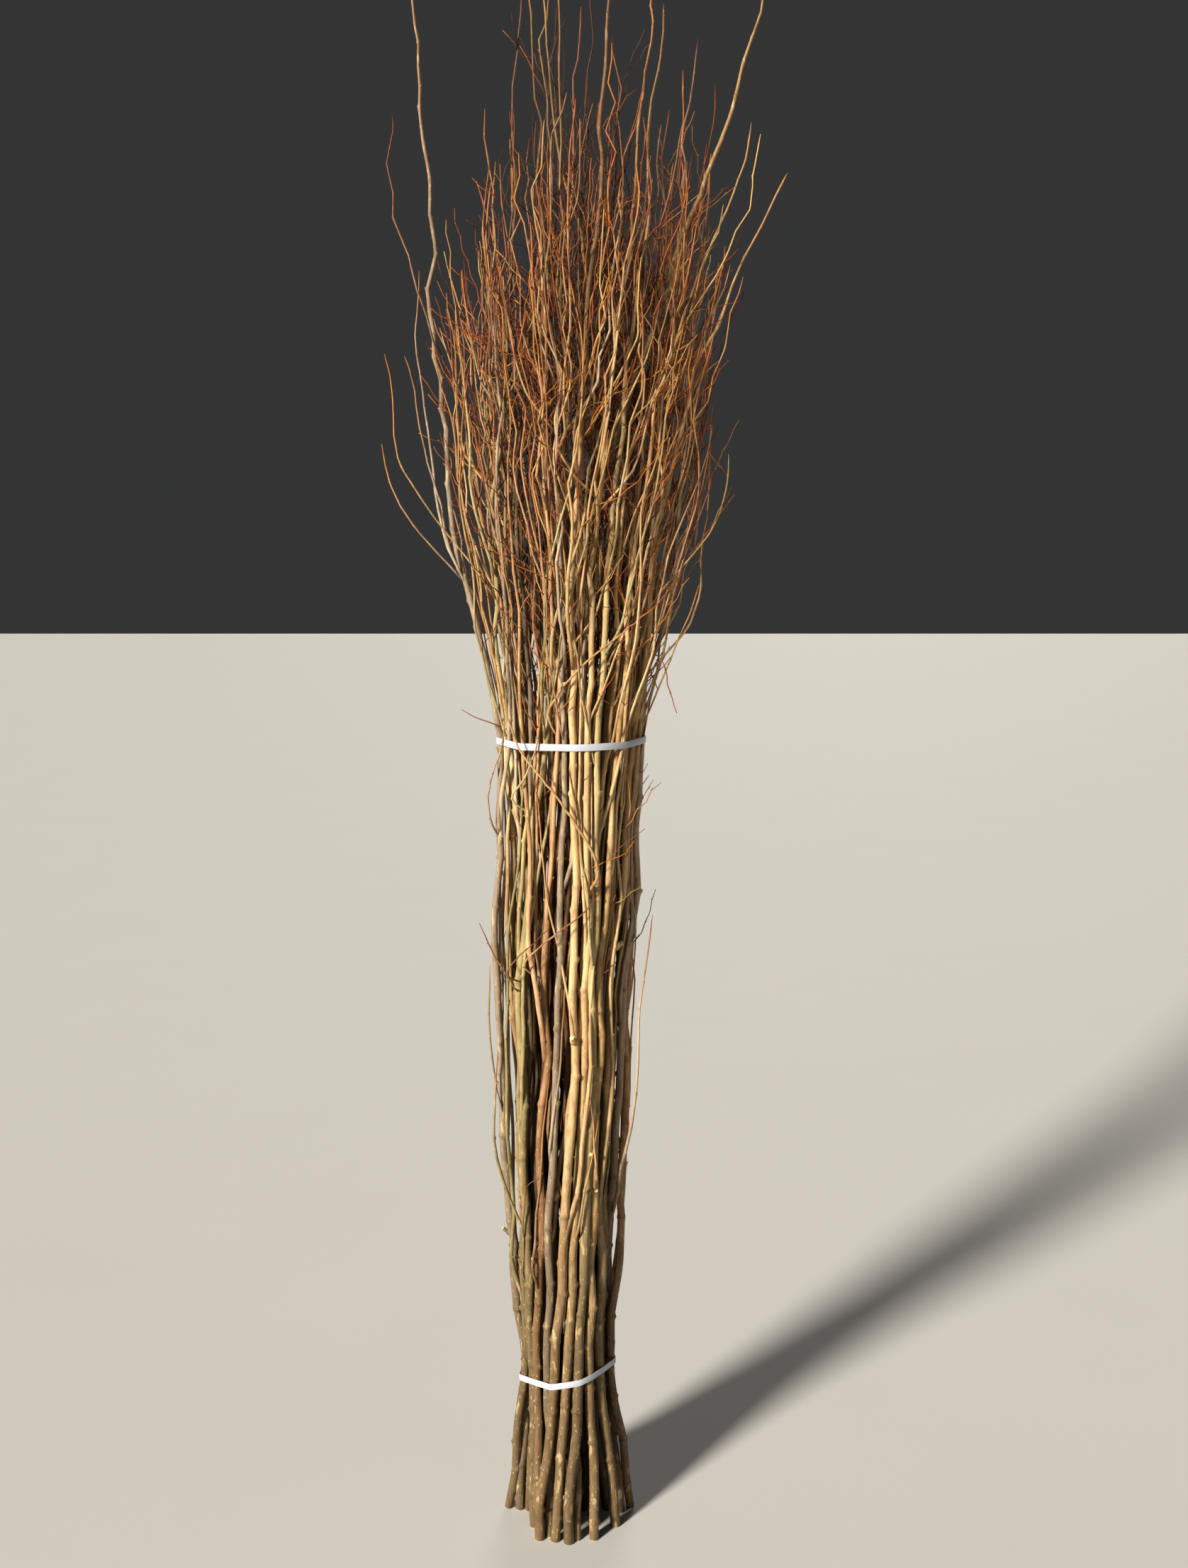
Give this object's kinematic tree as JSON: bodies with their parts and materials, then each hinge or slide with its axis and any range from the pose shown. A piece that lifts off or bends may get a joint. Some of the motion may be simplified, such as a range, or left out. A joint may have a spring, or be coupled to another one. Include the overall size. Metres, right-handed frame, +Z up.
{
  "type": "bundle of twigs",
  "caption": "Tall bundle of cut willow-like rods that stands on its cut ends, tied low down and half way up by flat white plastic bands, with a wide crown of fine twigs.",
  "frame": {"origin": "middle of the cut end of the middle rod, on the surface that the bundle stands on", "axes": "+Z up along the rods, -Y towards the front of the bundle, +X to the right seen from the front"},
  "size_m": [0.606, 0.4357, 2.5],
  "materials": {
    "bark_tan": "smooth straw to peach-tan bark, slightly waxy, orange-brown towards the twigs",
    "bark_olive": "smooth olive to yellow-green bark with pale lenticels",
    "bark_grey": "dull pinkish-grey bark with fine cracks",
    "bark_russet": "reddish-brown bark, shiny on the thin shoots",
    "strap": "white polypropylene band, finely embossed, slight sheen"
  },
  "bodies": {
    "root": {"stem_01": "bark_olive", "stem_02": "bark_grey", "stem_03": "bark_olive", "stem_04": "bark_olive", "stem_05": "bark_russet", "stem_06": "bark_grey", "stem_07": "bark_tan", "stem_08": "bark_tan", "stem_09": "bark_olive", "stem_10": "bark_tan", "stem_11": "bark_tan", "stem_12": "bark_grey", "stem_13": "bark_russet", "stem_14": "bark_tan", "stem_15": "bark_tan", "stem_16": "bark_grey", "stem_17": "bark_tan", "stem_18": "bark_russet", "stem_19": "bark_tan", "stem_20": "bark_olive", "stem_21": "bark_tan", "stem_22": "bark_grey", "stem_23": "bark_tan", "stem_24": "bark_russet", "stem_25": "bark_tan", "stem_26": "bark_olive", "stem_27": "bark_tan", "stem_28": "bark_grey", "stem_29": "bark_tan", "stem_30": "bark_russet", "stem_31": "bark_tan", "stem_32": "bark_olive", "stem_33": "bark_tan", "stem_34": "bark_grey", "stem_35": "bark_tan", "stem_36": "bark_russet", "stem_37": "bark_tan", "stem_38": "bark_olive", "stem_39": "bark_tan", "stem_40": "bark_grey", "stem_41": "bark_tan", "stem_42": "bark_russet", "stem_43": "bark_tan", "stem_44": "bark_olive", "stem_02_limb": "bark_grey", "stem_03_limb": "bark_olive", "stem_05_limb": "bark_russet", "stem_07_limb": "bark_tan", "stem_14_limb": "bark_tan", "stem_12_limb": "bark_grey", "stem_18_limb": "bark_russet", "stem_21_limb": "bark_tan", "stem_23_limb": "bark_tan", "stem_26_limb": "bark_olive", "stem_31_limb": "bark_tan", "stem_39_limb": "bark_tan", "strap_lower": "strap", "strap_upper": "strap"}
  },
  "joints": []
}
